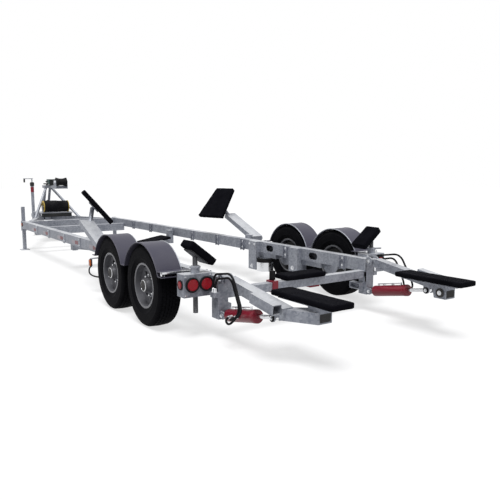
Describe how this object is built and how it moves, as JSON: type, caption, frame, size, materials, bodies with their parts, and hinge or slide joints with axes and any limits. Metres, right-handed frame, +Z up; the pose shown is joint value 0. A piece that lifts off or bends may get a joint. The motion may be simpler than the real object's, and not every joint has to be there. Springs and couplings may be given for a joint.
{
  "type": "boat trailer",
  "caption": "Long open-backed boat trailer with tandem wheels, hinged hydraulic tail arms, carpeted hull pads, drop legs, bow stand and ball coupler.",
  "frame": {"origin": "floor under the middle of the trailer's length and width", "axes": "+X towards the hitch, +Y to the trailer's left, +Z up"},
  "size_m": [11.635, 2.676, 1.385],
  "materials": {
    "galvanised": "hot-dip galvanised",
    "bright_metal": "bright",
    "fender": "satin grey",
    "wheel": "silver paint",
    "tyre": "matt",
    "carpet": "black marine carpet",
    "red_paint": "gloss dark red",
    "black_metal": "satin black",
    "black_rubber": "matt",
    "red_lens": "red lens",
    "amber_lens": "amber lens"
  },
  "bodies": {
    "frame": {"left_rail": "galvanised", "right_rail": "galvanised", "cross_beams": "galvanised", "tongue_arms": "galvanised", "drawbar": "galvanised", "stand_legs": "galvanised", "stand_head": "galvanised", "winch": "black_metal", "power_tray": "galvanised", "hose_reel": "black_rubber", "jack_body": "galvanised", "rail_brackets": "galvanised", "axle_hangers": "galvanised", "spring_cans": "bright_metal", "left_fender": "fender", "right_fender": "fender", "lamp_grommets": "black_rubber", "red_lamps": "red_lens", "amber_markers": "amber_lens", "tail_posts": "galvanised", "keel_beams": "galvanised", "keel_pads": "carpet", "keel_clamps": "red_paint", "left_outer_hose": "black_rubber", "left_inner_hose": "black_rubber", "right_outer_hose": "black_rubber", "right_inner_hose": "black_rubber"},
    "bow_roller": {"bow_roller": "black_rubber"},
    "jack_leg": {"jack_leg": "galvanised"},
    "left_drop_leg": {"left_drop_leg": "galvanised"},
    "left_front_wheel": {"left_front_tyre": "tyre", "left_front_wheel": "wheel"},
    "left_rear_wheel": {"left_rear_tyre": "tyre", "left_rear_wheel": "wheel"},
    "left_front_arm": {"left_front_arm": "galvanised", "left_front_pad": "carpet"},
    "left_rear_post": {"left_rear_post": "galvanised", "left_rear_pad": "carpet"},
    "left_tail_arm": {"left_tail_arm": "galvanised", "left_tail_pad": "carpet"},
    "left_barrel": {"left_barrel": "red_paint"},
    "left_rod": {"left_rod": "bright_metal"},
    "right_drop_leg": {"right_drop_leg": "galvanised"},
    "right_front_wheel": {"right_front_tyre": "tyre", "right_front_wheel": "wheel"},
    "right_rear_wheel": {"right_rear_tyre": "tyre", "right_rear_wheel": "wheel"},
    "right_front_arm": {"right_front_arm": "galvanised", "right_front_pad": "carpet"},
    "right_rear_post": {"right_rear_post": "galvanised", "right_rear_pad": "carpet"},
    "right_tail_arm": {"right_tail_arm": "galvanised", "right_tail_pad": "carpet"},
    "right_barrel": {"right_barrel": "red_paint"},
    "right_rod": {"right_rod": "bright_metal"}
  },
  "joints": [
    {"name": "bow_roller_turn", "type": "hinge", "parent": "frame", "child": "bow_roller", "pos_m": [3.3075, 0, 1.293], "axis": [0, 1, 0], "continuous": true},
    {"name": "jack_leg_slide", "type": "slide", "parent": "frame", "child": "jack_leg", "axis": [0, 0, -1], "range_m": [0, 0.12]},
    {"name": "left_drop_leg_slide", "type": "slide", "parent": "frame", "child": "left_drop_leg", "axis": [0, 0, 1], "range_m": [0, 0.25]},
    {"name": "left_front_wheel_spin", "type": "hinge", "parent": "frame", "child": "left_front_wheel", "pos_m": [-2.9055, 1.206, 0.391], "axis": [0, 1, 0], "continuous": true},
    {"name": "left_rear_wheel_spin", "type": "hinge", "parent": "frame", "child": "left_rear_wheel", "pos_m": [-3.7585, 1.206, 0.391], "axis": [0, 1, 0], "continuous": true},
    {"name": "left_front_arm_swing", "type": "hinge", "parent": "frame", "child": "left_front_arm", "pos_m": [-2.1875, 1.092, 0.543], "axis": [0, -1, 0], "range_deg": [-12, 18]},
    {"name": "left_rear_post_screw", "type": "slide", "parent": "frame", "child": "left_rear_post", "axis": [0, 0, 1], "range_m": [-0.05, 0.12]},
    {"name": "left_tail_arm_lift", "type": "hinge", "parent": "frame", "child": "left_tail_arm", "pos_m": [-4.5675, 0.9, 0.538], "axis": [0, 1, 0], "range_deg": [-3, 20]},
    {"name": "left_barrel_swing", "type": "hinge", "parent": "frame", "child": "left_barrel", "pos_m": [-4.5675, 0.9, 0.218], "axis": [0, 1, 0], "range_deg": [-3, 18]},
    {"name": "left_rod_stroke", "type": "slide", "parent": "left_barrel", "child": "left_rod", "axis": [-0.9833, 0, 0.1818], "range_m": [-0.018, 0.108]},
    {"name": "right_drop_leg_slide", "type": "slide", "parent": "frame", "child": "right_drop_leg", "axis": [0, 0, 1], "range_m": [0, 0.25]},
    {"name": "right_front_wheel_spin", "type": "hinge", "parent": "frame", "child": "right_front_wheel", "pos_m": [-2.9055, -1.206, 0.391], "axis": [0, 1, 0], "continuous": true},
    {"name": "right_rear_wheel_spin", "type": "hinge", "parent": "frame", "child": "right_rear_wheel", "pos_m": [-3.7585, -1.206, 0.391], "axis": [0, 1, 0], "continuous": true},
    {"name": "right_front_arm_swing", "type": "hinge", "parent": "frame", "child": "right_front_arm", "pos_m": [-2.1875, -1.092, 0.543], "axis": [0, -1, 0], "range_deg": [-12, 18]},
    {"name": "right_rear_post_screw", "type": "slide", "parent": "frame", "child": "right_rear_post", "axis": [0, 0, 1], "range_m": [-0.05, 0.12]},
    {"name": "right_tail_arm_lift", "type": "hinge", "parent": "frame", "child": "right_tail_arm", "pos_m": [-4.5675, -0.9, 0.538], "axis": [0, 1, 0], "range_deg": [-3, 20]},
    {"name": "right_barrel_swing", "type": "hinge", "parent": "frame", "child": "right_barrel", "pos_m": [-4.5675, -0.9, 0.218], "axis": [0, 1, 0], "range_deg": [-3, 18]},
    {"name": "right_rod_stroke", "type": "slide", "parent": "right_barrel", "child": "right_rod", "axis": [-0.9833, 0, 0.1818], "range_m": [-0.018, 0.108]}
  ],
  "couplings": [
    {"joint": "left_barrel_swing", "follows": "left_tail_arm_lift", "ratio": 0.878},
    {"joint": "left_rod_stroke", "follows": "left_tail_arm_lift", "m_per_rad": 0.305},
    {"joint": "right_barrel_swing", "follows": "right_tail_arm_lift", "ratio": 0.878},
    {"joint": "right_rod_stroke", "follows": "right_tail_arm_lift", "m_per_rad": 0.305}
  ]
}
